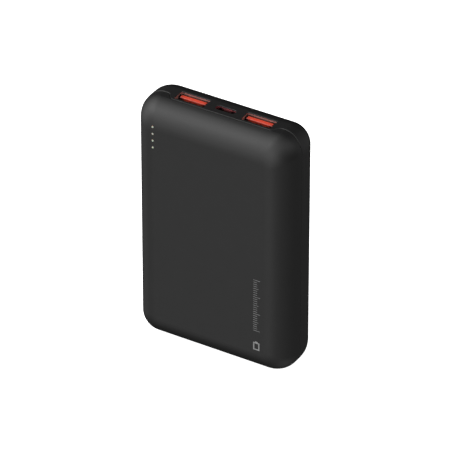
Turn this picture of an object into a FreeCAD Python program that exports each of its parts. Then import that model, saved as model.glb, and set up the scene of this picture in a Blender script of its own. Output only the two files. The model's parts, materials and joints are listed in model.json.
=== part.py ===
import FreeCAD, Part
import math
import os

# Pocket power bank: pillow-shaped two-shell case with two USB-A outlets and one USB-C port in its top end,
# four charge lights in the front and a push button in the left side.
# Row frame: +X to the right seen from the front, +Y to the back, +Z up, origin at the middle of the foot.
# All sizes are in millimetres.

V = FreeCAD.Vector

# ---- case: driving dimensions ----
HALF_W, HALF_D, HALF_H = 33.2, 12.2, 52.03  # half width, depth and height of the uncut pillow
ROLL_IN = 9.8  # how far the rolled edge reaches in from the outline
ROLL_POWER = 2.2  # exponent of the edge's superellipse; 2 is a plain ellipse
CORNER_R, FACE_CORNER_R = 8.35, 2.0  # corner radius of the outline, and where the roll meets the flat face
CROWN_DROP, CROWN_POWER = 0.4, 8  # what the ends lose to their near-flat middle, and how crisp its edge is
FLAT_TRIM = 0.03  # planed off the foot and the port panel, so that both are truly flat
WALL = 2.0
CENTRE_Z = HALF_H - CROWN_DROP - FLAT_TRIM
PANEL_Z = 2 * CENTRE_Z
ROLL_STATIONS = 13  # sections of the pillow from its widest line to one face
FAR = 60.0  # beyond the case in any direction

# ---- seam between the two shells ----
SEAM_Y, SEAM_CORNER_Y, SEAM_PANEL_Y = -1.35, -0.45, -3.5  # on the sides, past a top corner, by the ports
SEAM_SWINGS = (
    (32.8, SEAM_Y, 27.0, SEAM_CORNER_Y),  # outer x and y, inner x and y: back round each top corner
    (24.1, SEAM_CORNER_Y, 20.3, SEAM_PANEL_Y),  # and forward past the end of the ports
)
SEAM_GAP, SEAM_EDGE_R = 0.14, 0.3
SWING_Z = 45.0  # the seam's swings lie above this height
LIP_T, LIP_H, LIP_CLEAR, LIP_ROOT = 0.95, 1.6, 0.1, 0.6
LIP_TOP_X = 26.0  # no lip nearer the middle of the top than this, where the port panel is
HOOK_L, HOOK_H, HOOK_OUT, HOOK_CLEAR = 5.0, 0.6, 0.5, 0.1
HOOK_Y = SEAM_Y + 0.9
SIDE_HOOKS_Z = (24.0, 47.0, 70.0)
FOOT_HOOKS_X = (-14.0, 14.0)

# ---- ports ----
PORT_Y = 0.3
USB_A_X = (-14.0, 14.0)
USB_A_NAMES = ("usb_a_left", "usb_a_right")
A_W, A_T, A_LEN, A_WALL, A_R = 13.1, 5.72, 14.0, 0.3, 0.7
A_TONGUE_W, A_TONGUE_T, A_TONGUE_Y = 11.0, 1.84, PORT_Y + 0.055
A_BLOCK_H, A_TIP_CHAMFER = 3.6, 0.2
A_PINS_X = (-3.5, -1.0, 1.0, 3.5)
A_PIN_W, A_PIN_T, A_GROOVE_W = 1.0, 0.2, 1.1
A_LEAVES_X, A_WINDOW_W, A_LEAF_W, A_LEAF_T, A_LEAF_BUMP = (-3.2, 3.2), 2.6, 1.8, 0.22, 0.3
C_W, C_T, C_LEN, C_WALL = 8.94, 3.16, 7.3, 0.3
C_TONGUE_W, C_TONGUE_T = 6.69, 0.7
C_PIN_PITCH, C_PINS, C_PIN_W = 0.5, 12, 0.26
PORT_CLEAR, PORT_CHAMFER, PORT_DEPTH = 0.1, 0.1, 6.0
PORT_LIP = 0.35  # the panel's plastic that covers the receptacles' rims, down to their inner walls
MOUTH_Z = PANEL_Z - PORT_LIP - 0.05
A_TONGUE_Z, C_TONGUE_Z = MOUTH_Z - 0.5, MOUTH_Z - 1.3
A_FLOOR_Z, C_FLOOR_Z = MOUTH_Z - A_LEN, MOUTH_Z - C_LEN
A_LEGS_Z = (A_FLOOR_Z + 2.0, MOUTH_Z - 5.0)
C_LEGS_Z = (C_FLOOR_Z + 1.4, MOUTH_Z - 3.6)

# ---- board ----
BOARD_T = 1.2
BOARD_BACK_Y = PORT_Y - A_T / 2
BOARD_FRONT_Y = BOARD_BACK_Y - BOARD_T
BOARD_HALF_W, BOARD_Z0, BOARD_Z1, BOARD_R = 28.0, 81.5, 100.4, 3.0
SCREWS_XZ = ((-24.5, 98.5), (24.5, 98.5), (24.5, 84.4), (-19.5, 84.4))
SCREW_R, SCREW_HEAD_R, SCREW_HEAD_H, SCREW_L, SCREW_HOLE_CLEAR = 1.0, 1.8, 1.2, 6.0, 0.15
CROSS_L, CROSS_W, CROSS_DEPTH = 2.2, 0.4, 0.6
BOSS_R = 2.3
INDUCTOR_Z, INDUCTOR_SIZE, INDUCTOR_R, INDUCTOR_H = 88.6, 10.0, 1.5, 4.2
CORE_FOOT_T, CORE_TOP_T, CORE_POST_R, CORE_TOP_R = 0.8, 0.7, 1.8, 3.9
WINDING_R, SHIELD_BORE_R = 3.5, 4.3
CONTROLLER_XZ, CONTROLLER_SIZE, CONTROLLER_T = (-12.5, 84.4), 5.0, 0.9
MOSFETS_X, MOSFET_Z, MOSFET_W, MOSFET_H, MOSFET_T = (8.6, 16.9), 84.3, 4.0, 4.9, 1.6
MOSFET_LEADS, MOSFET_PITCH = 4, 1.27
CAPACITORS_XZ = ((-8.3, 87.0), (-8.3, 84.8), (-8.3, 82.6), (-4.2, 82.4), (21.0, 87.8))
CAPACITOR_SIZE = (2.0, 1.25, 1.1)
RESISTORS_XZ = ((-6.2, 87.0), (-6.2, 85.2), (-6.2, 83.6), (21.1, 85.2), (21.1, 83.4), (2.6, 82.2))
RESISTOR_SIZE = (1.6, 0.8, 0.5)

# ---- charge lights ----
LIGHT_X, LIGHT_Z, LIGHT_PITCH, LIGHTS = -23.6, 90.4, 2.96, 4
PIN_R, PIN_CLEAR, ROD_R = 0.4, 0.02, 0.75
GUIDE_W, GUIDE_END, GUIDE_CLEAR, GUIDE_RIB_T = 2.8, 1.6, 0.1, 0.8
GUIDE_Y0, GUIDE_Y1 = -6.2, -7.4
GUIDE_HALF_H = LIGHT_PITCH * (LIGHTS - 1) / 2 + GUIDE_END
LED_X, LED_Y, LED_Z, LED_LENS_T, LED_LENS_X = 1.6, 0.6, 0.8, 0.25, 1.0
SHIELD_HALF_W, SHIELD_CELL_W, SHIELD_CELL_H = 2.2, 2.2, 2.0

# ---- button and switch ----
BUTTON_Y, BUTTON_Z = SEAM_Y, 86.0
BUTTON_L, BUTTON_W, BUTTON_PROUD, BUTTON_TRAVEL = 9.0, 3.4, 0.3, 0.3
BUTTON_CLEAR, BUTTON_EDGE_R = 0.12, 0.35
FLANGE_L, FLANGE_W, FLANGE_T, FLANGE_R, FLANGE_CLEAR = 11.4, 5.0, 0.8, 1.0, 0.3
POCKET_X, POCKET_DEPTH = -(HALF_W - WALL) + 0.1, 4.0
POST_R = 1.2
SWITCH_X0, SWITCH_X1, SWITCH_H, SWITCH_L = -28.3, -25.0, 1.7, 4.8
STRAP_T, STRAP_START = 0.15, 0.3
PLUNGER_X, PLUNGER_L, PLUNGER_W, PLUNGER_T, PLUNGER_CLEAR = -29.5, 2.5, 2.4, 0.8, 0.05

# ---- cells ----
CELL_W, CELL_T, CELL_Z0, CELL_Z1, CELL_EDGE_R = 52.5, 8.6, 6.2, 75.8, 1.6
CELL_GAP = 0.8
TERRACE_H, TERRACE_T, TERRACE_IN = 2.6, 1.2, 1.0
CELL_Y = CELL_GAP / 2 + CELL_T / 2
STACK_HALF_T = CELL_Y + CELL_T / 2
TAB_X, TAB_W, TAB_T = 12.0, 5.0, 0.2
BUS_Z, BUS_T, BUS_OVERHANG = 80.0, 0.3, 0.6
PAD_W, PAD_Z0, PAD_Z1 = 40.0, 22.0, 60.0
TAPE_T, TAPE_BANDS_Z = 0.15, ((9.0, 17.0), (64.5, 72.5))
LEAD_R, LEAD_Y, LEAD_BEND_R, LEAD_JOINT_Z = 0.8, 2.0, 1.0, 84.4
BEAD_Y, BEAD_Z, BEAD_R, BEAD_L = CELL_Y - 1.9, CELL_Z1 + 1.2, 1.1, 4.0
BEAD_LEADS_X, BEAD_LEAD_R, BEAD_LEAD_BEND_R, BEAD_LEAD_H = (-1.2, 1.2), 0.25, 0.8, 6.0

# ---- ribs inside the case ----
RIB_T = 1.0
RIB_BITE = 0.5  # how far a rib runs into the wall it grows from
FIT_CLEAR = 0.1
RIB_X, RIBS_Z = 22.5, (19.0, 62.5)
BOSS_RIB_UP, BOSS_RIB_DOWN, BOSS_RIB_Y = 6.0, 4.4, 1.0
SHELF_X, SHELF_Y, SHELF_T, SHELF_CLEAR = (17.0, 23.0), 0.6, 1.2, 0.2
STOP_X, STOP_W, STOP_DEPTH, STOP_Z0 = 20.0, 2.0, 1.5, 3.0


# ---- plain shapes ----
def box(x0, x1, y0, y1, z0, z1):
    """A block between two corners; the two ends along each axis may come in either order."""
    low = V(min(x0, x1), min(y0, y1), min(z0, z1))
    return Part.makeBox(abs(x1 - x0), abs(y1 - y0), abs(z1 - z0), low)


def block(x, y, z, width, depth, height):
    """A block about its centre."""
    return Part.makeBox(width, depth, height, V(x - width / 2, y - depth / 2, z - height / 2))


def rod(start, end, radius):
    line = V(*end) - V(*start)
    return Part.makeCylinder(radius, line.Length, V(*start), line)


def rounded_wire(half_a, half_b, radius, place):
    """A rounded rectangle about the origin of a plane; place(a, b) gives the point in space."""
    shortest = 1e-6
    edges = []
    corners = ((1, 1, 0), (-1, 1, 90), (-1, -1, 180), (1, -1, 270))
    for side_a, side_b, turn in corners:
        centre_a, centre_b = side_a * (half_a - radius), side_b * (half_b - radius)
        arc = []
        for angle in (turn, turn + 45, turn + 90):
            c, s = math.cos(math.radians(angle)), math.sin(math.radians(angle))
            arc.append(place(centre_a + radius * c, centre_b + radius * s))
        if edges:
            edges.append(Part.makeLine(edges[-1].Vertexes[-1].Point, arc[0]))
        edges.append(Part.Arc(*arc).toShape())
    first, last = edges[0].Vertexes[0].Point, edges[-1].Vertexes[-1].Point
    if (first - last).Length > shortest:
        edges.append(Part.makeLine(last, first))
    return Part.Wire([e for e in edges if e.Length > shortest])


def bar_z(x, y, width, depth, radius, z0, z1):
    """An upright bar with a rounded-rectangle section."""
    wire = rounded_wire(width / 2, depth / 2, radius, lambda a, b: V(x + a, y + b, z0))
    return Part.Face(wire).extrude(V(0, 0, z1 - z0))


def flared_z(x, y, width, depth, radius, flare, z0, z1):
    """The same bar, larger all round by flare at its upper end."""
    low = rounded_wire(width / 2, depth / 2, radius, lambda a, b: V(x + a, y + b, z0))
    high = rounded_wire(
        width / 2 + flare, depth / 2 + flare, radius + flare, lambda a, b: V(x + a, y + b, z1)
    )
    return Part.makeLoft([low, high], True, True)


def bar_x(y, z, width, height, radius, x0, x1):
    """A bar along X with a rounded-rectangle section."""
    wire = rounded_wire(width / 2, height / 2, radius, lambda a, b: V(x0, y + a, z + b))
    return Part.Face(wire).extrude(V(x1 - x0, 0, 0))


def slab_y(x, z, width, height, radius, y0, y1):
    """A plate facing front and back with rounded corners."""
    wire = rounded_wire(width / 2, height / 2, radius, lambda a, b: V(x + a, y0, z + b))
    return Part.Face(wire).extrude(V(0, y1 - y0, 0))


def strip_x(points_yz, thickness, x, width):
    """A bent strip of sheet: a line of (y, z) points given a thickness, as wide as width along X."""
    count = len(points_yz)
    sharpest = 0.3  # the least cosine a mitre is worked out for
    sides = ([], [])
    for i in range(count):
        before, here, after = points_yz[max(i - 1, 0)], points_yz[i], points_yz[min(i + 1, count - 1)]
        into = V(0, here[0] - before[0], here[1] - before[1])
        out = V(0, after[0] - here[0], after[1] - here[1])
        into = into if into.Length > 0 else out
        out = out if out.Length > 0 else into
        into.normalize()
        out.normalize()
        normal = V(0, -(into.z + out.z), into.y + out.y)
        normal.normalize()
        across = thickness / 2 / max(sharpest, normal.dot(V(0, -into.z, into.y)))
        for side, sign in zip(sides, (1, -1)):
            side.append(V(x - width / 2, here[0], here[1]) + normal * (sign * across))
    ring = sides[0] + sides[1][::-1]
    return Part.Face(Part.makePolygon(ring + ring[:1])).extrude(V(width, 0, 0))


def bent_wire(points, bend_r, radius):
    """A round lead along straight runs joined by tangent arcs."""
    points = [V(*p) for p in points]
    edges, start = [], points[0]
    for before, here, after in zip(points, points[1:], points[2:]):
        into, out = (here - before).normalize(), (after - here).normalize()
        turn = into.getAngle(out)
        back = bend_r * math.tan(turn / 2)
        first, last = here - into * back, here + out * back
        middle = here + (out - into).normalize() * (bend_r / math.cos(turn / 2) - bend_r)
        edges += [Part.makeLine(start, first), Part.Arc(first, middle, last).toShape()]
        start = last
    edges.append(Part.makeLine(start, points[-1]))
    section = Part.Wire(Part.makeCircle(radius, points[0], points[1] - points[0]))
    return Part.Wire(edges).makePipeShell([section], True, False)


def group(solids):
    return Part.makeCompound(solids)


# ---- the pillow ----
def pillow_section(turn, side, inset):
    """The outline of the pillow, thinner by inset all round: turn 0 is its widest line, 90 its face."""
    depth, roll = HALF_D - inset, ROLL_IN - inset
    c, s = math.cos(math.radians(turn)), math.sin(math.radians(turn))
    in_by = roll * (1 - max(c, 0.0) ** (2 / ROLL_POWER)) if turn < 90 else roll
    y = side * depth * s ** (2 / ROLL_POWER)
    share = in_by / roll
    face_r = max(FACE_CORNER_R - inset / 4, FACE_CORNER_R / 2)
    radius = (CORNER_R - inset) * (1 - share) + face_r * share
    crown = (in_by**CROWN_POWER + CROWN_DROP**CROWN_POWER) ** (1 / CROWN_POWER)
    half_w, half_h = HALF_W - inset - in_by, HALF_H - inset - crown
    return rounded_wire(half_w, half_h, radius, lambda a, b: V(a, y, CENTRE_Z + b))


def pillow(inset):
    turns = [90 * i / (ROLL_STATIONS - 1) for i in range(ROLL_STATIONS)]
    front = [pillow_section(t, -1, inset) for t in reversed(turns)]
    back = [pillow_section(t, 1, inset) for t in turns[1:]]
    return Part.makeLoft(front + back, True, False)


def plane_ends(half):
    """Planes the foot and the port panel flat."""
    return half.common(box(-FAR, FAR, -FAR, FAR, 0, PANEL_Z))


# ---- the seam ----
def in_front_of_seam(shift):
    """All the space in front of the seam surface, moved back by shift."""

    def at(x, y):
        return V(x, y + shift, SWING_Z)

    ring = [Part.makeLine(at(-FAR, -FAR), at(FAR, -FAR))]
    for side in (1, -1):
        ring.append(Part.makeLine(at(side * FAR, -FAR), at(side * FAR, SEAM_Y)))
        from_x = FAR
        for outer_x, outer_y, inner_x, inner_y in SEAM_SWINGS:
            middle_x = (outer_x + inner_x) / 2
            poles = ((outer_x, outer_y), (middle_x, outer_y), (middle_x, inner_y), (inner_x, inner_y))
            swing = Part.BezierCurve()
            swing.setPoles([at(side * x, y) for x, y in poles])
            ring.append(Part.makeLine(at(side * from_x, outer_y), at(side * outer_x, outer_y)))
            ring.append(swing.toShape())
            from_x = inner_x
    ring.append(Part.makeLine(at(from_x, SEAM_PANEL_Y), at(-from_x, SEAM_PANEL_Y)))
    upper = Part.Face(Part.Wire(Part.__sortEdges__(ring))).extrude(V(0, 0, FAR + PANEL_Z))
    lower = box(-FAR, FAR, shift - FAR, SEAM_Y + shift, -FAR, SWING_Z)
    return upper.fuse(lower).removeSplitter()


def ease_seam_edge(half, body, divider):
    """Rounds the edge of one half of the case that lies both on the case's skin and on the divider."""
    sheets = (group(body.Faces), group(divider.Faces))
    eased = []
    for edge in half.Edges:
        first, last = edge.ParameterRange
        spots = [Part.Vertex(edge.valueAt(first + (last - first) * k)) for k in (0.15, 0.5, 0.85)]
        if all(sheet.distToShape(spot)[0] < 1e-3 for spot in spots for sheet in sheets):
            eased.append(edge)
    return half.makeFillet(SEAM_EDGE_R, eased)


def lip_space(inset, y1):
    """What lies inside one face of the lip, from just before the seam to y1, clear of the port panel."""
    space = pillow(inset).common(box(-FAR, FAR, SEAM_Y - LIP_ROOT, y1, -FAR, 2 * PANEL_Z))
    return space.cut(box(-LIP_TOP_X, LIP_TOP_X, -FAR, FAR, SWING_Z, 2 * PANEL_Z))


def hooks(grow):
    """The snap hooks on the lip, larger by grow for their pockets."""
    outside = WALL - LIP_T - HOOK_OUT  # from the case's skin to the tip of a hook
    inside = WALL - 0.3
    y0, y1 = HOOK_Y - grow, HOOK_Y + HOOK_H + grow
    half_l = HOOK_L / 2 + grow
    made = []
    for z in SIDE_HOOKS_Z:
        for side in (-1, 1):
            near, far = side * (HALF_W - inside), side * (HALF_W - outside + grow)
            made.append(box(near, far, y0, y1, z - half_l, z + half_l))
    for x in FOOT_HOOKS_X:
        made.append(box(x - half_l, x + half_l, y0, y1, outside - grow, inside))
    return made


# ---- the two shells ----
def button_slot():
    grow = 2 * BUTTON_CLEAR
    width, length = BUTTON_W + grow, BUTTON_L + grow
    through = bar_x(BUTTON_Y, BUTTON_Z, width, length, 0.498 * width, -FAR, -HALF_W + 2 * POCKET_DEPTH)
    pocket_w, pocket_l = FLANGE_W + 2 * FLANGE_CLEAR, FLANGE_L + 2 * FLANGE_CLEAR
    pocket = block(POCKET_X + POCKET_DEPTH / 2, BUTTON_Y, BUTTON_Z, POCKET_DEPTH, pocket_w, pocket_l)
    return through.fuse(pocket)


def lights_z():
    return [LIGHT_Z + LIGHT_PITCH * (i - (LIGHTS - 1) / 2) for i in range(LIGHTS)]


def cover_ribs():
    """The frame of ribs behind the front face that holds the cells, and the two beside the light guide."""
    inside = -(HALF_D - WALL) - RIB_BITE
    top = -STACK_HALF_T - FIT_CLEAR
    half_x, half_t = RIB_X - RIB_T / 2, RIB_T / 2
    low, high = RIBS_Z[0] - half_t, RIBS_Z[1] + half_t
    ribs = [box(x - half_t, x + half_t, inside, top, low, high) for x in (-RIB_X, RIB_X)]
    ribs += [box(-half_x, half_x, inside, top, z - half_t, z + half_t) for z in RIBS_Z]
    guide_x = GUIDE_W / 2 + GUIDE_CLEAR
    for side in (-1, 1):
        near, far = LIGHT_X + side * guide_x, LIGHT_X + side * (guide_x + GUIDE_RIB_T)
        low, high = LIGHT_Z - GUIDE_HALF_H, LIGHT_Z + GUIDE_HALF_H
        ribs.append(box(near, far, inside, GUIDE_Y0 - 3 * FIT_CLEAR, low, high))
    return group(ribs).common(pillow(WALL / 2)).Solids


def front_cover():
    body, divider = pillow(0), in_front_of_seam(-SEAM_GAP / 2)
    half = plane_ends(ease_seam_edge(body.common(divider), body, divider))
    cover = half.cut(pillow(WALL))
    lip = lip_space(WALL - LIP_T + LIP_CLEAR, SEAM_Y + LIP_H).cut(pillow(WALL))
    cover = cover.fuse([lip, *hooks(0.0)]).fuse(cover_ribs())
    for z in lights_z():
        through = rod((LIGHT_X, -HALF_D - 1, z), (LIGHT_X, -HALF_D + WALL + 1, z), PIN_R + PIN_CLEAR)
        cover = cover.cut(through)
    return cover.cut(button_slot()).removeSplitter()


def port_cutouts():
    """For each receptacle a pocket from inside, a mouth as wide as its inner walls, and a small chamfer."""
    receptacles = [(x, A_W, A_T, A_R, A_WALL) for x in USB_A_X] + [(0.0, C_W, C_T, C_T / 2 - 0.01, C_WALL)]
    floor_z, lip_z, chamfer_z = PANEL_Z - PORT_DEPTH, PANEL_Z - PORT_LIP, PANEL_Z - PORT_CHAMFER
    cuts = []
    for x, width, depth, radius, wall in receptacles:
        pocket = (width + 2 * PORT_CLEAR, depth + 2 * PORT_CLEAR, radius + PORT_CLEAR)
        mouth = (width - 2 * wall, depth - 2 * wall, radius - wall)
        cuts.append(bar_z(x, PORT_Y, *pocket, floor_z, lip_z))
        cuts.append(bar_z(x, PORT_Y, *mouth, floor_z, PANEL_Z + 1))
        cuts.append(flared_z(x, PORT_Y, *mouth, PORT_CHAMFER, chamfer_z, PANEL_Z))
    return cuts


def shell_ribs():
    """Screw bosses with their ribs, shelves over the cells, stops under them and ribs behind them."""
    inside = HALF_D - WALL + RIB_BITE
    half_t = RIB_T / 2
    made = []
    for x, z in SCREWS_XZ:
        rib_end = z + BOSS_RIB_UP if z > INDUCTOR_Z else z - BOSS_RIB_DOWN
        boss = rod((x, BOARD_BACK_Y, z), (x, inside + FIT_CLEAR, z), BOSS_R)
        made.append(boss.fuse(box(x - half_t, x + half_t, BOSS_RIB_Y, inside, z, rib_end)))
    shelf_z = CELL_Z1 + TERRACE_H + SHELF_CLEAR
    stop_y0, stop_y1, stop_z1 = STACK_HALF_T - STOP_DEPTH, STACK_HALF_T + RIB_BITE, CELL_Z0 - FIT_CLEAR
    for side in (-1, 1):
        x = side * STOP_X
        made.append(box(side * SHELF_X[0], side * SHELF_X[1], SHELF_Y, inside, shelf_z, shelf_z + SHELF_T))
        made.append(box(x - STOP_W / 2, x + STOP_W / 2, stop_y0, stop_y1, STOP_Z0, stop_z1))
    half_x, rib_y = RIB_X - half_t, STACK_HALF_T + FIT_CLEAR
    made += [box(-half_x, half_x, rib_y, inside, z - half_t, z + half_t) for z in RIBS_Z]
    return group(made).common(pillow(WALL / 2)).Solids


def rear_shell():
    body, divider = pillow(0), in_front_of_seam(SEAM_GAP / 2)
    half = plane_ends(ease_seam_edge(body.cut(divider), body, divider))
    shell = half.cut(pillow(WALL)).cut(lip_space(WALL - LIP_T, SEAM_Y + LIP_H + LIP_CLEAR))
    shell = shell.cut(hooks(HOOK_CLEAR)).cut(port_cutouts()).fuse(shell_ribs())
    for x, z in SCREWS_XZ:
        shell = shell.cut(rod((x, BOARD_BACK_Y - 1, z), (x, BOARD_BACK_Y + SCREW_L, z), SCREW_R))
    return shell.cut(button_slot()).removeSplitter()


# ---- ports ----
def board_leg(wall_x, wall_t, y1, z, height, past):
    """A shell's leg through the board, in line with its side wall."""
    half_t, half_h = wall_t / 2, height / 2
    return box(wall_x - half_t, wall_x + half_t, BOARD_FRONT_Y - past, y1, z - half_h, z + half_h)


def usb_a_shell(x):
    """A folded steel tube with two spring leaves in each broad wall and four legs."""
    outer = bar_z(x, PORT_Y, A_W, A_T, A_R, A_FLOOR_Z, MOUTH_Z)
    inner = bar_z(x, PORT_Y, A_W - 2 * A_WALL, A_T - 2 * A_WALL, A_R - A_WALL, A_FLOOR_Z - 1, MOUTH_Z + 1)
    shell = outer.cut(inner)
    window_z0, window_z1 = A_FLOOR_Z + 4.5, MOUTH_Z - 3.0
    added = []
    for side in (-1, 1):
        wall_y = PORT_Y + side * (A_T / 2 - A_WALL / 2)
        bump = (wall_y - side * A_LEAF_BUMP, window_z1 - 2.0)
        leaf = [(wall_y, window_z0 - 0.3), (wall_y, window_z0 + 1.0), bump, (wall_y, window_z1 - 0.5)]
        for dx in A_LEAVES_X:
            middle_z, height = (window_z0 + window_z1) / 2, window_z1 - window_z0
            shell = shell.cut(block(x + dx, wall_y, middle_z, A_WINDOW_W, 0.8, height))
            added.append(strip_x(leaf, A_LEAF_T, x + dx, A_LEAF_W))
    leg_top, leg_h, leg_past = PORT_Y - A_T / 2 + A_R + 0.4, 1.4, 0.5
    for side in (-1, 1):
        wall_x = x + side * (A_W / 2 - A_WALL / 2)
        added += [board_leg(wall_x, A_WALL, leg_top, z, leg_h, leg_past) for z in A_LEGS_Z]
    return shell.fuse(added).removeSplitter()


def usb_a_insulator(x):
    """The block that closes the tube's floor, with the tongue and its four grooves."""
    front, half_w, root_z = A_TONGUE_Y, A_TONGUE_W / 2, A_FLOOR_Z + A_BLOCK_H / 2
    tongue = box(x - half_w, x + half_w, front, front + A_TONGUE_T, root_z, A_TONGUE_Z)
    tip = [e for e in tongue.Edges if min(v.Z for v in e.Vertexes) > A_TONGUE_Z - 0.01]
    tongue = tongue.makeChamfer(A_TIP_CHAMFER, tip)
    width, depth, radius = A_W - 2 * A_WALL, A_T - 2 * A_WALL, A_R - A_WALL
    body = tongue.fuse(bar_z(x, PORT_Y, width, depth, radius, A_FLOOR_Z, A_FLOOR_Z + A_BLOCK_H))
    for dx in A_PINS_X:
        x0, x1 = x + dx - A_GROOVE_W / 2, x + dx + A_GROOVE_W / 2
        body = body.cut(box(x0, x1, front - 0.25, front + 0.3, A_FLOOR_Z - 1, A_TONGUE_Z - 0.9))
    return body.removeSplitter()


def usb_a_contacts(x):
    """Four spring contacts, bowed along the tongue's grooves and led out of the floor to the board."""
    bed, top, tail_z = A_TONGUE_Y + 0.15, A_TONGUE_Z - 1.1, A_FLOOR_Z - 0.5
    line = [
        (bed, top), (bed - 0.02, top - 0.6), (bed - 0.28, top - 1.8), (bed, top - 3.0),
        (bed, tail_z), (BOARD_BACK_Y + 0.1, tail_z), (BOARD_BACK_Y + 0.1, tail_z - 1.3),
    ]
    return group([strip_x(line, A_PIN_T, x + dx, A_PIN_W) for dx in A_PINS_X])


def usb_c_bar(inset, z0, z1):
    """A bar with the USB-C receptacle's rounded-end section, smaller all round by inset."""
    width, depth = C_W - 2 * inset, C_T - 2 * inset
    return bar_z(0, PORT_Y, width, depth, depth / 2 - 0.01, z0, z1)


def usb_c_shell():
    inner = usb_c_bar(C_WALL, C_FLOOR_Z - 1, MOUTH_Z + 1)
    leg_h, leg_past = 1.2, 0.4
    legs = []
    for side in (-1, 1):
        wall_x = side * (C_W / 2 - C_WALL / 2)
        legs += [board_leg(wall_x, C_WALL, PORT_Y + 0.2, z, leg_h, leg_past) for z in C_LEGS_Z]
    return usb_c_bar(0, C_FLOOR_Z, MOUTH_Z).cut(inner).fuse(legs).cut(inner).removeSplitter()


def usb_c_insulator():
    """The plug of plastic in the tube's floor, with its tongue, its collar and a foot on the board."""
    floor, half_foot = C_FLOOR_Z, 3.9
    tongue = bar_z(0, PORT_Y, C_TONGUE_W, C_TONGUE_T, 0.2, floor, C_TONGUE_Z)
    collar = bar_z(0, PORT_Y, C_TONGUE_W, 1.3, 0.3, floor, floor + 3.3)
    foot = box(-half_foot, half_foot, BOARD_BACK_Y, PORT_Y - C_T / 2, floor, floor + 4.6)
    back = box(-half_foot, half_foot, BOARD_BACK_Y, PORT_Y + 0.6, floor - 0.8, floor)
    return usb_c_bar(C_WALL, floor, floor + 2.4).fuse([tongue, collar, foot.fuse(back)]).removeSplitter()


def usb_c_contacts():
    """Twelve contacts on each side of the tongue and twelve tails on the board."""
    half_w, thick = C_PIN_W / 2, 0.08
    low, high = C_FLOOR_Z + 3.3, C_TONGUE_Z - 0.35
    tail_y, tail_z = BOARD_BACK_Y + 0.15, C_FLOOR_Z - 0.8
    made = []
    for i in range(C_PINS):
        x = (i - (C_PINS - 1) / 2) * C_PIN_PITCH
        for side in (-1, 1):
            face = PORT_Y + side * C_TONGUE_T / 2
            made.append(box(x - half_w, x + half_w, face, face + side * thick, low, high))
        made.append(box(x - half_w, x + half_w, BOARD_BACK_Y, tail_y, tail_z - 0.8, tail_z))
    return group(made)


# ---- board and what sits on it ----
def main_board():
    middle_z = (BOARD_Z0 + BOARD_Z1) / 2
    board = slab_y(0, middle_z, 2 * BOARD_HALF_W, BOARD_Z1 - BOARD_Z0, BOARD_R, BOARD_FRONT_Y, BOARD_BACK_Y)
    y0, y1 = BOARD_FRONT_Y - 1, BOARD_BACK_Y + 1
    for x, z in SCREWS_XZ:
        board = board.cut(rod((x, y0, z), (x, y1, z), SCREW_R + SCREW_HOLE_CLEAR))
    a_leg_x, c_leg_x = A_W / 2 - A_WALL / 2, C_W / 2 - C_WALL / 2
    slots = [(x + side * a_leg_x, z, 2.0) for x in USB_A_X for side in (-1, 1) for z in A_LEGS_Z]
    slots += [(side * c_leg_x, z, 1.7) for side in (-1, 1) for z in C_LEGS_Z]
    for x, z, length in slots:
        board = board.cut(slab_y(x, z, 0.9, length, 0.4, y0, y1))
    return board


def board_screws():
    top_y = BOARD_FRONT_Y - SCREW_HEAD_H
    made = []
    for x, z in SCREWS_XZ:
        shank = rod((x, BOARD_FRONT_Y, z), (x, BOARD_FRONT_Y + SCREW_L, z), SCREW_R)
        head = rod((x, top_y, z), (x, BOARD_FRONT_Y, z), SCREW_HEAD_R)
        head = head.makeFillet(0.5, [e for e in head.Edges if e.BoundBox.YMax < top_y + 0.01])
        cut_y = top_y + CROSS_DEPTH / 2 - 0.5
        cross = block(x, cut_y, z, CROSS_L, CROSS_DEPTH + 1, CROSS_W)
        cross = cross.fuse(block(x, cut_y, z, CROSS_W, CROSS_DEPTH + 1, CROSS_L))
        made.append(shank.fuse(head).cut(cross).removeSplitter())
    return group(made)


def indicator_leds():
    lens_y, base_y = BOARD_FRONT_Y - LED_Y, BOARD_FRONT_Y - LED_Y + LED_LENS_T
    made = []
    for z in lights_z():
        z0, z1 = z - LED_Z / 2, z + LED_Z / 2
        base = box(LIGHT_X - LED_X / 2, LIGHT_X + LED_X / 2, base_y, BOARD_FRONT_Y, z0, z1)
        lens = box(LIGHT_X - LED_LENS_X / 2, LIGHT_X + LED_LENS_X / 2, lens_y, base_y, z0, z1)
        made.append(base.fuse(lens).removeSplitter())
    return group(made)


def light_shield():
    """A block between the board and the light guide, with one cell round each light."""
    low, high = LIGHT_Z - GUIDE_HALF_H, LIGHT_Z + GUIDE_HALF_H
    shield = box(LIGHT_X - SHIELD_HALF_W, LIGHT_X + SHIELD_HALF_W, GUIDE_Y0, BOARD_FRONT_Y, low, high)
    depth = BOARD_FRONT_Y - GUIDE_Y0 + 2
    for z in lights_z():
        shield = shield.cut(
            block(LIGHT_X, (GUIDE_Y0 + BOARD_FRONT_Y) / 2, z, SHIELD_CELL_W, depth, SHIELD_CELL_H)
        )
    return shield


def light_guide():
    """A clear bar with a stepped rod to each light hole in the front face."""
    height, step_y = 2 * (GUIDE_HALF_H - GUIDE_CLEAR), -(HALF_D - WALL) + 0.3
    guide = block(LIGHT_X, (GUIDE_Y0 + GUIDE_Y1) / 2, LIGHT_Z, GUIDE_W, GUIDE_Y0 - GUIDE_Y1, height)
    rods = []
    for z in lights_z():
        rods.append(rod((LIGHT_X, GUIDE_Y1, z), (LIGHT_X, step_y, z), ROD_R))
        rods.append(rod((LIGHT_X, step_y, z), (LIGHT_X, -HALF_D, z), PIN_R))
    return guide.fuse(rods).removeSplitter()


def inductor_rod(y0, y1, radius):
    """A cylinder on the inductor's axis; y0 and y1 are heights above the board."""
    return rod((0, BOARD_BACK_Y + y0, INDUCTOR_Z), (0, BOARD_BACK_Y + y1, INDUCTOR_Z), radius)


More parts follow.
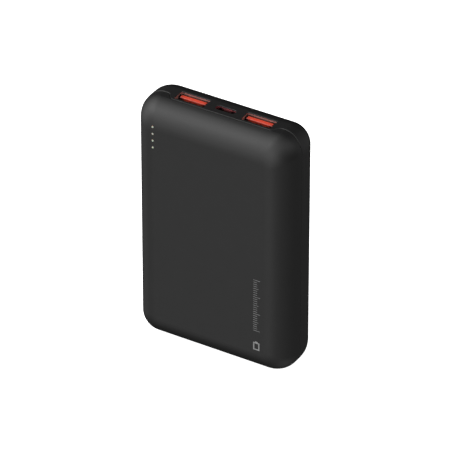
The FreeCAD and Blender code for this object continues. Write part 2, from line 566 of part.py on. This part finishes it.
def inductor_slab(y0, y1):
    return slab_y(
        0, INDUCTOR_Z, INDUCTOR_SIZE, INDUCTOR_SIZE, INDUCTOR_R, BOARD_BACK_Y + y0, BOARD_BACK_Y + y1
    )


def inductor_core():
    top = INDUCTOR_H - CORE_TOP_T
    post, flange = inductor_rod(CORE_FOOT_T, top, CORE_POST_R), inductor_rod(top, INDUCTOR_H, CORE_TOP_R)
    return inductor_slab(0, CORE_FOOT_T).fuse([post, flange]).removeSplitter()


def inductor_winding():
    top = INDUCTOR_H - CORE_TOP_T
    return inductor_rod(CORE_FOOT_T, top, WINDING_R).cut(inductor_rod(CORE_FOOT_T, top, CORE_POST_R))


def inductor_shield():
    return inductor_slab(CORE_FOOT_T, INDUCTOR_H).cut(inductor_rod(-1, INDUCTOR_H + 1, SHIELD_BORE_R))


def on_board(x, z, width, height, thick):
    return block(x, BOARD_BACK_Y + thick / 2, z, width, thick, height)


def charge_controller():
    """A square chip with a round index mark near one corner."""
    x, z = CONTROLLER_XZ
    mark_x, mark_z = x - CONTROLLER_SIZE / 2 + 0.7, z + CONTROLLER_SIZE / 2 - 0.7
    top = BOARD_BACK_Y + CONTROLLER_T
    mark = rod((mark_x, top - 0.1, mark_z), (mark_x, top + 0.1, mark_z), 0.3)
    return on_board(x, z, CONTROLLER_SIZE, CONTROLLER_SIZE, CONTROLLER_T).cut(mark)


def power_mosfets():
    lead_w, lead_t = 0.4, 0.25
    made = []
    stand_off = 0.15
    middle_y = BOARD_BACK_Y + (MOSFET_T + stand_off) / 2
    for x in MOSFETS_X:
        body = block(x, middle_y, MOSFET_Z, MOSFET_W, MOSFET_T - stand_off, MOSFET_H)
        leads = []
        for side in (-1, 1):
            for i in range(MOSFET_LEADS):
                z = MOSFET_Z + (i - (MOSFET_LEADS - 1) / 2) * MOSFET_PITCH
                leads.append(on_board(x + side * (MOSFET_W / 2 + 0.4), z, 1.0, lead_w, lead_t))
        made.append(body.fuse(leads).removeSplitter())
    return group(made)


def chip_parts(places, size):
    """Chip parts with a raised metal cap at each end, as one solid each."""
    width, height, thick = size
    made = []
    for x, z in places:
        body = on_board(x, z, width * 0.6, height, thick - 0.05)
        caps = [on_board(x + side * width * 0.4, z, width * 0.2, height, thick) for side in (-1, 1)]
        made.append(body.fuse(caps).removeSplitter())
    return group(made)


# ---- switch and button ----
def switch_body():
    middle_x = (SWITCH_X0 + SWITCH_X1) / 2
    body = block(middle_x, BUTTON_Y, BUTTON_Z, SWITCH_X1 - SWITCH_X0, SWITCH_H, SWITCH_L)
    hole_x0, hole_x1 = SWITCH_X0 - 1, PLUNGER_X + PLUNGER_L + BUTTON_TRAVEL + 0.1
    hole_t, hole_w = PLUNGER_T + 2 * PLUNGER_CLEAR, PLUNGER_W + 2 * PLUNGER_CLEAR
    return body.cut(block((hole_x0 + hole_x1) / 2, BUTTON_Y, BUTTON_Z, hole_x1 - hole_x0, hole_t, hole_w))


def switch_cover():
    """The steel strap folded over the switch's back and down to the board."""
    x0, x1 = SWITCH_X0 + STRAP_START, SWITCH_X1
    near_y, half_l = BUTTON_Y + SWITCH_H / 2, SWITCH_L / 2
    far_y = near_y + STRAP_T
    back = box(x0, x1, near_y, far_y, BUTTON_Z - half_l - STRAP_T, BUTTON_Z + half_l + STRAP_T)
    arms = [
        box(x0, x1, BOARD_BACK_Y, far_y, BUTTON_Z + side * half_l, BUTTON_Z + side * (half_l + STRAP_T))
        for side in (-1, 1)
    ]
    return back.fuse(arms).removeSplitter()


def switch_plunger():
    return block(PLUNGER_X + PLUNGER_L / 2, BUTTON_Y, BUTTON_Z, PLUNGER_L, PLUNGER_T, PLUNGER_W)


def power_button():
    """A rounded cap in the case's slot, with a flange behind the wall and a post to the switch."""
    outer_x = -HALF_W - BUTTON_PROUD
    cap = bar_x(BUTTON_Y, BUTTON_Z, BUTTON_W, BUTTON_L, 0.497 * BUTTON_W, outer_x, POCKET_X + FLANGE_T / 2)
    rim = [e for e in cap.Edges if all(v.X < outer_x + 0.01 for v in e.Vertexes)]
    cap = cap.makeFillet(BUTTON_EDGE_R, rim)
    flange_x = POCKET_X + FIT_CLEAR / 2
    flange = bar_x(BUTTON_Y, BUTTON_Z, FLANGE_W, FLANGE_L, FLANGE_R, flange_x, flange_x + FLANGE_T)
    post = rod((flange_x + FLANGE_T, BUTTON_Y, BUTTON_Z), (PLUNGER_X, BUTTON_Y, BUTTON_Z), POST_R)
    return cap.fuse([flange, post]).removeSplitter()


# ---- cells ----
def pouch_cell(y):
    """A pouch with rounded long edges and the thin sealed terrace its tabs come out of."""
    body = bar_z(0, y, CELL_W, CELL_T, CELL_EDGE_R, CELL_Z0, CELL_Z1)
    half_w, half_t = CELL_W / 2 - TERRACE_IN, TERRACE_T / 2
    terrace = box(-half_w, half_w, y - half_t, y + half_t, CELL_Z1 - 0.5, CELL_Z1 + TERRACE_H)
    return body.fuse(terrace).removeSplitter()


def cell_tabs():
    low = CELL_Z1 + TERRACE_H
    places = [(x, y) for x in (-TAB_X, TAB_X) for y in (-CELL_Y, CELL_Y)]
    return group([block(x, y, (low + BUS_Z) / 2, TAB_W, TAB_T, BUS_Z - low) for x, y in places])


def bus_strips():
    reach = CELL_Y + BUS_OVERHANG
    return group([block(x, 0, BUS_Z + BUS_T / 2, TAB_W, 2 * reach, BUS_T) for x in (-TAB_X, TAB_X)])


def foam_pad(y0, y1):
    return box(-PAD_W / 2, PAD_W / 2, y0, y1, PAD_Z0, PAD_Z1)


def stack_tape():
    width, depth = CELL_W, 2 * STACK_HALF_T
    made = []
    for z0, z1 in TAPE_BANDS_Z:
        outer = bar_z(0, 0, width + 2 * TAPE_T, depth + 2 * TAPE_T, CELL_EDGE_R + TAPE_T, z0, z1)
        made.append(outer.cut(bar_z(0, 0, width, depth, CELL_EDGE_R, z0 - 1, z1 + 1)))
    return group(made)


def cell_lead(x, lean):
    """A lead from a bus strip up, forward and down onto the back of the board, lean further along X."""
    rise_z, knee_y = LEAD_JOINT_Z - 2.2, LEAD_Y - 1.2
    route = [
        (x, LEAD_Y, BUS_Z + BUS_T), (x, LEAD_Y, rise_z),
        (x + lean, knee_y, LEAD_JOINT_Z), (x + lean, BOARD_BACK_Y, LEAD_JOINT_Z),
    ]
    return bent_wire(route, LEAD_BEND_R, LEAD_R)


def cell_thermistor():
    """A bead on the rear cell's terrace with two fine leads to the board."""
    bead = rod((-BEAD_L / 2, BEAD_Y, BEAD_Z), (BEAD_L / 2, BEAD_Y, BEAD_Z), BEAD_R)
    high = BEAD_Z + BEAD_LEAD_H
    leads = []
    for x in BEAD_LEADS_X:
        route = [(x, BEAD_Y, BEAD_Z), (x, BEAD_Y, high), (x, BOARD_BACK_Y, high)]
        leads.append(bent_wire(route, BEAD_LEAD_BEND_R, BEAD_LEAD_R))
    return bead.fuse(leads).removeSplitter()


def all_nodes():
    face_y = HALF_D - WALL
    nodes = {
        "front_cover": front_cover(),
        "rear_shell": rear_shell(),
        "power_button": power_button(),
        "switch_body": switch_body(),
        "switch_cover": switch_cover(),
        "switch_plunger": switch_plunger(),
        "light_guide": light_guide(),
        "light_shield": light_shield(),
        "indicator_leds": indicator_leds(),
        "main_board": main_board(),
        "board_screws": board_screws(),
        "usb_c_shell": usb_c_shell(),
        "usb_c_insulator": usb_c_insulator(),
        "usb_c_contacts": usb_c_contacts(),
        "inductor_core": inductor_core(),
        "inductor_winding": inductor_winding(),
        "inductor_shield": inductor_shield(),
        "charge_controller": charge_controller(),
        "power_mosfets": power_mosfets(),
        "chip_capacitors": chip_parts(CAPACITORS_XZ, CAPACITOR_SIZE),
        "chip_resistors": chip_parts(RESISTORS_XZ, RESISTOR_SIZE),
        "front_cell": pouch_cell(-CELL_Y),
        "rear_cell": pouch_cell(CELL_Y),
        "cell_tabs": cell_tabs(),
        "bus_strips": bus_strips(),
        "centre_foam": foam_pad(-CELL_GAP / 2, CELL_GAP / 2),
        "front_foam_pad": foam_pad(-face_y, -STACK_HALF_T),
        "rear_foam_pad": foam_pad(STACK_HALF_T, face_y),
        "stack_tape": stack_tape(),
        "positive_lead": cell_lead(TAB_X, 0.75),
        "negative_lead": cell_lead(-TAB_X, -4.0),
        "cell_thermistor": cell_thermistor(),
    }
    for name, x in zip(USB_A_NAMES, USB_A_X):
        nodes[name + "_shell"] = usb_a_shell(x)
        nodes[name + "_insulator"] = usb_a_insulator(x)
        nodes[name + "_contacts"] = usb_a_contacts(x)
    return nodes


os.makedirs("parts", exist_ok=True)
for node_name, shape in all_nodes().items():
    shape.exportStep(f"parts/{node_name}.step")
    state = "ok" if shape.isValid() else "NOT VALID"
    print(f"{node_name}: {len(shape.Solids)} solids, {shape.Volume:.1f} mm3, {state}")
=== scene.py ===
"""Pocket power bank standing on its end: materials, printed mark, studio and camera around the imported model.

Row frame in metres: +X right seen from the face with the lights, +Y to the back, +Z up, origin at the foot.
"""

import json
import math

import bpy
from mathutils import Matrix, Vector


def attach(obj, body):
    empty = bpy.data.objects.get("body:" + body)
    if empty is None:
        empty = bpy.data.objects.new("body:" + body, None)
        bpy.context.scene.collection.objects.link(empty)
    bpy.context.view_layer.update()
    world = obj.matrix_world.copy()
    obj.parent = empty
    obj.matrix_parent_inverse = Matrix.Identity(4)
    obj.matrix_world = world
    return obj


MM = 0.001

# ---- printed mark on the front face, in mm ----
FACE_Y = -12.2
PRINT_T = 0.012
TICK_X, TICK_TOP_Z, TICK_BOTTOM_Z = 19.1, 42.2, 19.6
TICK_COUNT = 25
TICK_T, TICK_LONG, TICK_MIDDLE, TICK_SHORT = 0.16, 2.9, 2.2, 1.7
LONG_EVERY, MIDDLE_EVERY = 8, 4
ICON_X, ICON_Z = 20.5, 12.6
ICON_LINE, ICON_HALF_W, ICON_HALF_H = 0.5, 1.35, 1.7
ICON_CAP_HALF_W, ICON_CAP_H = 0.55, 0.45

# ---- camera: a long lens, aimed at the middle of the case ----
AIM = Vector((0.0, 0.0, 0.0516))
AZIMUTH, ELEVATION, DISTANCE = 30.45, 34.13, 1.738
LENS, SENSOR = 374.85, 36.0
SHIFT = (0.00166, 0.0033)
CLIP = (0.01, 50.0)

# ---- soft light: azimuth and elevation in degrees towards each source, then its strength ----
SOURCE_FOCUS = 10.0
SOFT_SOURCES = {
    "key": (-65, 45, 4.4),
    "front_fill": (0, 20, 2.3),
    "left_fill": (-75, 0, 1.5),
    "overhead": (40, 60, 1.1),
    "front_bounce": (-10, -20, 1.1),
    "right_fill": (100, 35, 0.9),
    "right_bounce": (85, -60, 0.6),
    "low_right": (40, -15, 0.5),
    "rear_rim": (145, -5, 0.4),
}
WHITE = (1.0, 1.0, 1.0, 1.0)

# ---- floor ----
FLOOR_SIZE = 6.0
FLOOR_COLOUR, FLOOR_ROUGHNESS, FLOOR_GLOW = (0.93, 0.93, 0.93, 1.0), 0.9, 0.97

# ---- painted shade in narrow gaps: darkest scale of the colour, then the two shares of open room ----
GAP_REACH = 0.003
GAP_SAMPLES = 12
PAINTED_GAP_SHADES = {
    "orange_plastic": (0.03, 0.62, 0.97),
    "plated_steel": (0.04, 0.36, 0.50),
    "narrow_socket_steel": (0.03, 0.42, 0.58),
}

# ---- materials: colours dark to light, roughness low to high, grains to the metre, heights in metres ----
NO_STRETCH = (1.0, 1.0, 1.0)
DRAWN_ALONG_Z = (1.0, 1.0, 14.0)
BLOTCH_SHARE = 0.05  # how much coarser the colour's pattern is than the grain's
WAVES_PER_METRE = 3.2  # stripes to the metre in a wave texture of scale 1
STRIPE_WOBBLE, STRIPE_START, STRIPE_END = 0.4, 0.1, 0.7
STRIPE_RISE = 0.3  # height of a stripe as a share of the pitch
STRIPE_GRAIN = 700.0
METAL_RELIEF = 0.000004

GRAINED = {
    "soft_touch_black": dict(
        dark=(0.0060, 0.0060, 0.0060), light=(0.0068, 0.0068, 0.0068), rough=(0.42, 0.50),
        grain=4200.0, bump=0.000006,
    ),
    "button_black": dict(
        dark=(0.0075, 0.0075, 0.0078), light=(0.0095, 0.0095, 0.0098), rough=(0.34, 0.42),
        grain=3000.0, bump=0.000003,
    ),
    "black_nylon": dict(dark=(0.02, 0.02, 0.02), light=(0.035, 0.035, 0.035), rough=(0.5, 0.65)),
    "white_nylon": dict(dark=(0.70, 0.68, 0.62), light=(0.80, 0.79, 0.74), rough=(0.4, 0.5)),
    "clear_acrylic": dict(
        dark=(0.39, 0.395, 0.31), light=(0.44, 0.445, 0.36), rough=(0.35, 0.5),
        Subsurface_Weight=0.3, Subsurface_Scale=0.0006,
    ),
    "led_package": dict(dark=(0.82, 0.76, 0.45), light=(0.92, 0.88, 0.62), rough=(0.3, 0.45)),
    "orange_plastic": dict(
        dark=(0.66, 0.055, 0.024), light=(0.72, 0.066, 0.031), rough=(0.40, 0.50),
        grain=1500.0, bump=0.000004,
    ),
    "ferrite": dict(
        dark=(0.06, 0.06, 0.065), light=(0.12, 0.12, 0.13), rough=(0.55, 0.75), grain=1500.0, bump=0.00002
    ),
    "chip_epoxy": dict(
        dark=(0.025, 0.025, 0.028), light=(0.045, 0.045, 0.05), rough=(0.45, 0.6), grain=2500.0
    ),
    "grey_foam": dict(
        dark=(0.12, 0.12, 0.13), light=(0.22, 0.22, 0.23), rough=(0.85, 0.98), grain=1600.0, bump=0.00012
    ),
    "amber_tape": dict(dark=(0.50, 0.26, 0.02), light=(0.66, 0.38, 0.05), rough=(0.15, 0.25), grain=400.0),
    "red_silicone": dict(dark=(0.50, 0.012, 0.012), light=(0.62, 0.02, 0.02), rough=(0.4, 0.52)),
    "black_silicone": dict(dark=(0.018, 0.018, 0.018), light=(0.03, 0.03, 0.03), rough=(0.4, 0.52)),
    "sensor_epoxy": dict(dark=(0.05, 0.05, 0.07), light=(0.09, 0.09, 0.12), rough=(0.2, 0.35)),
    "printed_grey": dict(
        dark=(0.19, 0.19, 0.19), light=(0.24, 0.24, 0.24), rough=(0.45, 0.6), grain=2500.0
    ),
}

# The two socket steels are tinted pink and red as painted reflection of the orange plastic beside them; the
# narrow socket's steel is also darker, as painted shade in its deep mouth.
METALS = {
    "black_steel": dict(dark=(0.10, 0.10, 0.11), light=(0.18, 0.18, 0.19), rough=(0.3, 0.45)),
    "nickel_steel": dict(dark=(0.56, 0.55, 0.51), light=(0.70, 0.69, 0.65), rough=(0.22, 0.36)),
    "plated_steel": dict(dark=(0.97, 0.52, 0.46), light=(1.0, 0.58, 0.52), rough=(0.52, 0.60)),
    "narrow_socket_steel": dict(dark=(0.92, 0.28, 0.31), light=(1.0, 0.34, 0.38), rough=(0.48, 0.56)),
    "gold_plate": dict(dark=(0.72, 0.48, 0.16), light=(0.90, 0.66, 0.28), rough=(0.18, 0.3)),
    "pouch_foil": dict(
        dark=(0.58, 0.59, 0.61), light=(0.72, 0.73, 0.75), rough=(0.32, 0.46), stretch=NO_STRETCH, scale=180.0
    ),
    "nickel_strip": dict(dark=(0.60, 0.58, 0.54), light=(0.72, 0.70, 0.66), rough=(0.2, 0.34)),
}

STRIPED = {
    "green_laminate": dict(
        dark=(0.012, 0.10, 0.045), light=(0.02, 0.16, 0.075), rough=(0.28, 0.4), pitch=0.0011
    ),
    "enamelled_copper": dict(
        dark=(0.32, 0.09, 0.03), light=(0.75, 0.30, 0.12), rough=(0.2, 0.35), pitch=0.0004,
        metallic=1.0, across="Y",
    ),
    "ceramic_tan": dict(dark=(0.34, 0.22, 0.13), light=(0.62, 0.58, 0.52), rough=(0.3, 0.45), pitch=0.002),
    "resistor_black": dict(
        dark=(0.02, 0.02, 0.02), light=(0.55, 0.55, 0.54), rough=(0.3, 0.45), pitch=0.0016
    ),
}


def direction(azimuth, elevation):
    """A unit vector; azimuth 0 faces the side with the charge lights and 90 the right side."""
    a, e = math.radians(azimuth), math.radians(elevation)
    return Vector((math.sin(a) * math.cos(e), -math.cos(a) * math.cos(e), math.sin(e)))


# ---- node helpers ----
def new_material(name):
    """An empty material with one shader linked to its output."""
    material = bpy.data.materials.new(name)
    material.use_nodes = True
    tree = material.node_tree
    tree.nodes.clear()
    out = tree.nodes.new("ShaderNodeOutputMaterial")
    shader = tree.nodes.new("ShaderNodeBsdfPrincipled")
    tree.links.new(shader.outputs["BSDF"], out.inputs["Surface"])
    return material, tree, shader


def place_coordinates(tree, scale):
    """The row frame's own coordinates, so a pattern keeps its size on every piece."""
    where = tree.nodes.new("ShaderNodeTexCoord")
    mapping = tree.nodes.new("ShaderNodeMapping")
    mapping.inputs["Scale"].default_value = scale
    tree.links.new(where.outputs["Object"], mapping.inputs["Vector"])
    return mapping.outputs["Vector"]


def noise(tree, scale, detail=3.0, stretch=NO_STRETCH):
    """A fine random pattern, scale grains to the metre."""
    node = tree.nodes.new("ShaderNodeTexNoise")
    node.inputs["Scale"].default_value = scale
    node.inputs["Detail"].default_value = detail
    tree.links.new(place_coordinates(tree, stretch), node.inputs["Vector"])
    return node.outputs["Fac"]


def ramp(tree, value, low, high, start=0.3, end=0.7):
    """Takes value from start..end to low..high, as numbers or as colours."""
    if isinstance(low, tuple):
        node = tree.nodes.new("ShaderNodeValToRGB")
        first, last = node.color_ramp.elements
        first.position, first.color = start, (*low, 1.0)
        last.position, last.color = end, (*high, 1.0)
        tree.links.new(value, node.inputs["Fac"])
        return node.outputs["Color"]
    node = tree.nodes.new("ShaderNodeMapRange")
    node.inputs["From Min"].default_value = start
    node.inputs["From Max"].default_value = end
    node.inputs["To Min"].default_value = low
    node.inputs["To Max"].default_value = high
    tree.links.new(value, node.inputs["Value"])
    return node.outputs["Result"]


def add_bump(tree, shader, height, distance, strength=0.3):
    """Lets a pattern tilt the surface, as if it stood distance metres high."""
    node = tree.nodes.new("ShaderNodeBump")
    node.inputs["Distance"].default_value = distance
    node.inputs["Strength"].default_value = strength
    tree.links.new(height, node.inputs["Height"])
    tree.links.new(node.outputs["Normal"], shader.inputs["Normal"])


def grained(name, dark, light, rough, grain=900.0, bump=0.00001, **settings):
    """A plastic, foam or coating with a fine grain: colour and roughness both vary with it."""
    material, tree, shader = new_material(name)
    broad = noise(tree, grain * BLOTCH_SHARE, 4.0)
    fine = noise(tree, grain, 2.0)
    tree.links.new(ramp(tree, broad, dark, light), shader.inputs["Base Color"])
    tree.links.new(ramp(tree, fine, *rough), shader.inputs["Roughness"])
    add_bump(tree, shader, fine, bump)
    for key, value in settings.items():
        shader.inputs[key.replace("_", " ")].default_value = value
    return material


def paint_gap_shade(material, deepest, closed, open_air):
    """Painted shade in gaps and recesses: scales the colour by deepest..1 as the share of open room before the
    surface goes closed..open_air.
    """
    tree = material.node_tree
    shader = next(node for node in tree.nodes if node.type == "BSDF_PRINCIPLED")
    colour = shader.inputs["Base Color"].links[0].from_socket
    room = tree.nodes.new("ShaderNodeAmbientOcclusion")
    room.inputs["Distance"].default_value = GAP_REACH
    room.samples = GAP_SAMPLES
    scale = tree.nodes.new("ShaderNodeVectorMath")
    scale.operation = "SCALE"
    tree.links.new(colour, scale.inputs[0])
    tree.links.new(ramp(tree, room.outputs["AO"], deepest, 1.0, closed, open_air), scale.inputs["Scale"])
    tree.links.new(scale.outputs["Vector"], shader.inputs["Base Color"])


def metal(name, dark, light, rough, stretch=DRAWN_ALONG_Z, scale=500.0):
    """A drawn or plated metal with a grain along one axis."""
    material, tree, shader = new_material(name)
    grain = noise(tree, scale, 3.0, stretch)
    tree.links.new(ramp(tree, grain, dark, light), shader.inputs["Base Color"])
    tree.links.new(ramp(tree, grain, *rough), shader.inputs["Roughness"])
    add_bump(tree, shader, grain, METAL_RELIEF, 0.2)
    shader.inputs["Metallic"].default_value = 1.0
    return material


def striped(name, dark, light, rough, pitch, metallic=0.0, across="X"):
    """Repeating stripes, such as turns of wire or tracks, pitch metres apart."""
    material, tree, shader = new_material(name)
    wave = tree.nodes.new("ShaderNodeTexWave")
    wave.wave_type = "BANDS"
    wave.bands_direction = across
    wave.inputs["Scale"].default_value = 1.0 / (pitch * WAVES_PER_METRE)
    wave.inputs["Distortion"].default_value = STRIPE_WOBBLE
    tree.links.new(place_coordinates(tree, NO_STRETCH), wave.inputs["Vector"])
    colour = ramp(tree, wave.outputs["Fac"], dark, light, STRIPE_START, STRIPE_END)
    tree.links.new(colour, shader.inputs["Base Color"])
    fine = noise(tree, STRIPE_GRAIN)
    tree.links.new(ramp(tree, fine, *rough), shader.inputs["Roughness"])
    add_bump(tree, shader, wave.outputs["Fac"], pitch * STRIPE_RISE, 0.6)
    shader.inputs["Metallic"].default_value = metallic
    return material


def make_materials():
    """Every material by name, each made by the recipe of its table."""
    made = {}
    for recipe, table in ((grained, GRAINED), (metal, METALS), (striped, STRIPED)):
        for name, settings in table.items():
            made[name] = recipe(name, **settings)
    # painted shade: each listed material is darkened where a gap or recess closes in
    for name, (deepest, closed, open_air) in PAINTED_GAP_SHADES.items():
        paint_gap_shade(made[name], deepest, closed, open_air)
    return made


def dress_cad_nodes(frame, materials):
    """Gives each CAD node the material of its slot; the narrow socket's shell has one of its own, a darker,
    redder steel with painted shade and painted reflection.
    """
    slots = {part["node"]: part["material_slot"] for part in frame["record"]["subparts"]}
    # painted shade and painted reflection: a darker, redder steel for the narrow socket's shell
    slots["usb_c_shell"] = "narrow_socket_steel"
    for name, node in frame["nodes"].items():
        node.data.materials.clear()
        node.data.materials.append(materials[slots[name]])


# ---- printed mark ----
def bar_mesh(boxes, name):
    """One mesh of thin bars; each box is (x0, x1, z0, z1) in mm on the front face."""
    points, faces = [], []
    y0, y1 = FACE_Y - PRINT_T, FACE_Y + PRINT_T
    for x0, x1, z0, z1 in boxes:
        base = len(points)
        for y in (y0, y1):
            points += [(x * MM, y * MM, z * MM) for x, z in ((x0, z0), (x1, z0), (x1, z1), (x0, z1))]
        faces.append([base + i for i in (0, 1, 2, 3)])
        faces.append([base + i for i in (7, 6, 5, 4)])
        for i in range(4):
            j = (i + 1) % 4
            faces.append([base + i, base + i + 4, base + j + 4, base + j])
    mesh = bpy.data.meshes.new(name)
    mesh.from_pydata(points, [], faces)
    mesh.update()
    made = bpy.data.objects.new(name, mesh)
    bpy.context.scene.collection.objects.link(made)
    return made


def gauge_ticks():
    """A plain column of ticks, longer at every fourth and eighth."""
    boxes = []
    pitch = (TICK_TOP_Z - TICK_BOTTOM_Z) / (TICK_COUNT - 1)
    for i in range(TICK_COUNT):
        z = TICK_BOTTOM_Z + i * pitch
        length = TICK_SHORT
        if i % LONG_EVERY == 0:
            length = TICK_LONG
        elif i % MIDDLE_EVERY == 0:
            length = TICK_MIDDLE
        boxes.append((TICK_X, TICK_X + length, z - TICK_T / 2, z + TICK_T / 2))
    return bar_mesh(boxes, "printed_gauge")


def battery_icon():
    """A generic upright battery: an outline of four bars and a cap."""
    line = ICON_LINE
    left, right = ICON_X - ICON_HALF_W, ICON_X + ICON_HALF_W
    bottom, top = ICON_Z - ICON_HALF_H, ICON_Z + ICON_HALF_H
    boxes = [
        (left, left + line, bottom, top),
        (right - line, right, bottom, top),
        (left + line, right - line, bottom, bottom + line),
        (left + line, right - line, top - line, top),
        (ICON_X - ICON_CAP_HALF_W, ICON_X + ICON_CAP_HALF_W, top, top + ICON_CAP_H),
    ]
    return bar_mesh(boxes, "printed_battery_sign")


# ---- studio ----
def build_world():
    """A white backdrop for the camera, and round it a dark room with a few broad soft sources."""
    world = bpy.data.worlds.new("studio")
    bpy.context.scene.world = world
    world.use_nodes = True
    tree = world.node_tree
    tree.nodes.clear()

    def math_node(operation, first, second):
        node = tree.nodes.new("ShaderNodeMath")
        node.operation = operation
        for socket, value in zip(node.inputs, (first, second)):
            if isinstance(value, bpy.types.NodeSocket):
                tree.links.new(value, socket)
            else:
                socket.default_value = value
        return node.outputs["Value"]

    where = tree.nodes.new("ShaderNodeTexCoord").outputs["Generated"]
    total = 0.0
    for azimuth, elevation, strength in SOFT_SOURCES.values():
        toward = tree.nodes.new("ShaderNodeVectorMath")
        toward.operation = "DOT_PRODUCT"
        toward.inputs[1].default_value = direction(azimuth, elevation)
        tree.links.new(where, toward.inputs[0])
        falloff = math_node("MULTIPLY", math_node("SUBTRACT", toward.outputs["Value"], 1.0), SOURCE_FOCUS)
        total = math_node("ADD", math_node("MULTIPLY", math_node("EXPONENT", falloff, 0.0), strength), total)

    room = tree.nodes.new("ShaderNodeBackground")
    backdrop = tree.nodes.new("ShaderNodeBackground")
    tree.links.new(total, room.inputs["Strength"])
    room.inputs["Color"].default_value = backdrop.inputs["Color"].default_value = WHITE
    seen = tree.nodes.new("ShaderNodeLightPath")
    pick = tree.nodes.new("ShaderNodeMixShader")
    out = tree.nodes.new("ShaderNodeOutputWorld")
    tree.links.new(seen.outputs["Is Camera Ray"], pick.inputs["Fac"])
    tree.links.new(room.outputs["Background"], pick.inputs[1])
    tree.links.new(backdrop.outputs["Background"], pick.inputs[2])
    tree.links.new(pick.outputs["Shader"], out.inputs["Surface"])


def build_floor():
    """A pale floor, nearly white all over, that neither blocks nor reflects the soft light."""
    bpy.ops.mesh.primitive_plane_add(size=FLOOR_SIZE, location=(0.0, 0.0, 0.0))
    floor = bpy.context.object
    floor.name = "studio_floor"
    material, tree, shader = new_material("pale_floor")
    shader.inputs["Base Color"].default_value = FLOOR_COLOUR
    shader.inputs["Roughness"].default_value = FLOOR_ROUGHNESS
    shader.inputs["Emission Color"].default_value = WHITE
    shader.inputs["Emission Strength"].default_value = FLOOR_GLOW
    material.cycles.emission_sampling = "NONE"
    floor.data.materials.append(material)
    floor.visible_glossy = False
    floor.visible_diffuse = False
    floor.visible_transmission = False
    floor.visible_shadow = False


def build_camera():
    """The camera, turned to the aim point and then shifted a little on its sensor."""
    data = bpy.data.cameras.new("camera")
    data.lens, data.sensor_width = LENS, SENSOR
    data.shift_x, data.shift_y = SHIFT
    data.clip_start, data.clip_end = CLIP
    camera = bpy.data.objects.new("camera", data)
    bpy.context.scene.collection.objects.link(camera)
    back = direction(AZIMUTH, ELEVATION)
    camera.location = AIM + back * DISTANCE
    camera.rotation_euler = (-back).to_track_quat("-Z", "Y").to_euler()
    bpy.context.scene.camera = camera


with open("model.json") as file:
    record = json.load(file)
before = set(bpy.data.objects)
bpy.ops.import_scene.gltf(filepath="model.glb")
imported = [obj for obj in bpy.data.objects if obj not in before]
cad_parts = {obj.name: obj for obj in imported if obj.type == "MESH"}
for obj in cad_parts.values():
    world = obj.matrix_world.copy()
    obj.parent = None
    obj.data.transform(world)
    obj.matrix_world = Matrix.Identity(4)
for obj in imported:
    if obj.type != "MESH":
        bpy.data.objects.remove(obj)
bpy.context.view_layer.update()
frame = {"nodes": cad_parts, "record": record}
materials = make_materials()
dress_cad_nodes(frame, materials)
for piece in (gauge_ticks(), battery_icon()):
    piece.data.materials.append(materials["printed_grey"])
    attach(piece, "case")
build_world()
build_floor()
build_camera()
bpy.context.scene.view_settings.view_transform = "Standard"
bpy.context.scene.view_settings.look = "None"
